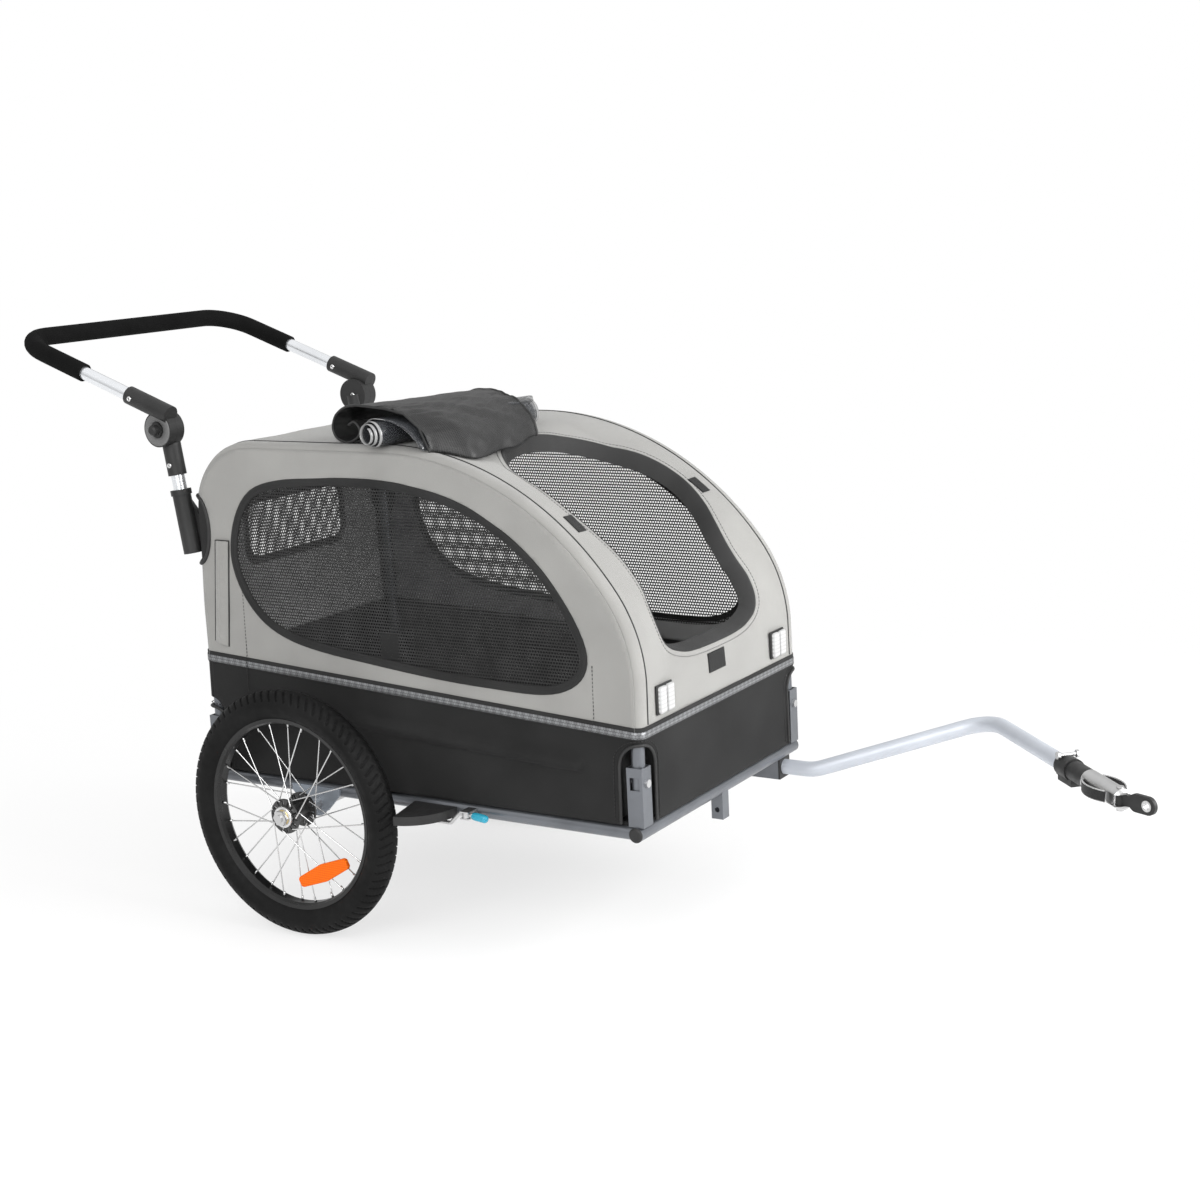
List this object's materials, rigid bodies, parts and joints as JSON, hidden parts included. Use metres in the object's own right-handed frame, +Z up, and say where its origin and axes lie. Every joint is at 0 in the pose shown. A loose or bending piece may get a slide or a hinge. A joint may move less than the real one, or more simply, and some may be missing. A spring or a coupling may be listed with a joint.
{
  "type": "dog bike trailer",
  "caption": "Two-wheeled dog trailer for a bicycle: tube frame, hooped cloth cabin with net windows, tilting push handle, spoked wheels and a bent tow arm with a swivel hitch.",
  "frame": {"origin": "on the floor, under the middle of the part's length and width, with the trailer level on its two wheels", "axes": "+X forward, towards the bicycle; +Y to the trailer's left, the tow arm's side; +Z up"},
  "size_m": [1.8698, 0.704, 0.9558],
  "materials": {
    "frame_paint": "satin silver paint",
    "bare_steel": "zinc plated",
    "tow_steel": "pale silver paint",
    "bracket_paint": "satin blue-grey paint",
    "black_plastic": "fine moulded grain",
    "tyre_rubber": "matt",
    "rim_black": "black anodised",
    "spoke_steel": "drawn wire",
    "foam": "closed-cell foam",
    "grey_cloth": "woven",
    "black_cloth": "woven",
    "net": "open net",
    "tape": "woven binding tape",
    "reflective_tape": "retro-reflective",
    "clear_vinyl": "clear sheet",
    "orange_lens": "prismatic lens",
    "clear_lens": "prismatic lens",
    "floor_board": "board under cloth",
    "webbing": "nylon webbing"
  },
  "bodies": {
    "frame": {"axle_beam": "bare_steel", "axle_brackets": "bracket_paint", "axle_nuts": "bare_steel", "bindings": "tape", "brake_brackets": "bare_steel", "cover_roll": "net", "cross_tubes": "frame_paint", "floor_panel": "floor_board", "front_reflectors": "clear_lens", "handle_sockets": "black_plastic", "handle_stubs": "frame_paint", "hinge_bolts": "bare_steel", "hinge_brackets": "frame_paint", "hitch_sleeve": "black_plastic", "left_hoop": "frame_paint", "left_rail": "frame_paint", "left_side_panel": "grey_cloth", "lower_cover": "black_cloth", "lower_joint_halves": "black_plastic", "rear_panel": "grey_cloth", "receiver_bushes": "black_plastic", "reflective_strip": "reflective_tape", "right_hoop": "frame_paint", "right_rail": "frame_paint", "right_side_panel": "grey_cloth", "roof_bars": "frame_paint", "roof_panel": "grey_cloth", "stand_bracket": "bare_steel", "tow_arm": "tow_steel", "tow_pin": "bare_steel", "tow_receiver": "bare_steel", "tube_end_plugs": "black_plastic", "vinyl_roll": "clear_vinyl", "wheel_axles": "bare_steel", "wheel_guards": "black_plastic", "window_meshes": "net"},
    "right_wheel": {"right_tyre": "tyre_rubber", "right_rim": "rim_black", "right_spokes": "spoke_steel", "right_hub": "black_plastic", "right_bearings": "bare_steel", "right_reflector": "orange_lens"},
    "left_wheel": {"left_tyre": "tyre_rubber", "left_rim": "rim_black", "left_spokes": "spoke_steel", "left_hub": "black_plastic", "left_bearings": "bare_steel", "left_reflector": "orange_lens"},
    "handle": {"handle_bar": "frame_paint", "handle_grip": "foam", "upper_joint_halves": "black_plastic"},
    "right_button": {"right_tilt_button": "black_plastic"},
    "left_button": {"left_tilt_button": "black_plastic"},
    "right_brake": {"right_brake_lever": "bare_steel"},
    "left_brake": {"left_brake_lever": "bare_steel"},
    "coupler": {"coupler": "bare_steel", "coupler_pin": "bare_steel", "safety_strap": "webbing"},
    "tongue": {"axle_tongue": "black_plastic", "axle_eyelet": "bare_steel"}
  },
  "joints": [
    {"name": "right_wheel_spin", "type": "hinge", "parent": "frame", "child": "right_wheel", "pos_m": [-0.34677, -0.314, 0.2], "axis": [0, 1, 0], "continuous": true},
    {"name": "left_wheel_spin", "type": "hinge", "parent": "frame", "child": "left_wheel", "pos_m": [-0.34677, 0.314, 0.2], "axis": [0, 1, 0], "continuous": true},
    {"name": "handle_tilt", "type": "hinge", "parent": "frame", "child": "handle", "pos_m": [-0.60977, 0, 0.796], "axis": [0, 1, 0], "range_deg": [-45, 60]},
    {"name": "right_button_press", "type": "slide", "parent": "handle", "child": "right_button", "axis": [0, 1, 0], "range_m": [0, 0.005], "stiffness_N_per_m": 400, "springref_m": -0.002},
    {"name": "left_button_press", "type": "slide", "parent": "handle", "child": "left_button", "axis": [0, -1, 0], "range_m": [0, 0.005], "stiffness_N_per_m": 400, "springref_m": -0.002},
    {"name": "right_brake_swing", "type": "hinge", "parent": "frame", "child": "right_brake", "pos_m": [-0.04077, -0.272, 0.222], "axis": [0, 0, 1], "range_deg": [0, 3.5]},
    {"name": "left_brake_swing", "type": "hinge", "parent": "frame", "child": "left_brake", "pos_m": [-0.04077, 0.272, 0.222], "axis": [0, 0, -1], "range_deg": [0, 3.5]},
    {"name": "hitch_roll", "type": "hinge", "parent": "frame", "child": "coupler", "pos_m": [0.81279, 0.06789, 0.28], "axis": [0.6947, -0.7193, 0], "range_deg": [-90, 90]},
    {"name": "tongue_swing", "type": "hinge", "parent": "coupler", "child": "tongue", "pos_m": [0.8767, 0.00171, 0.28], "axis": [0, 0, 1], "range_deg": [-83, 37]}
  ]
}
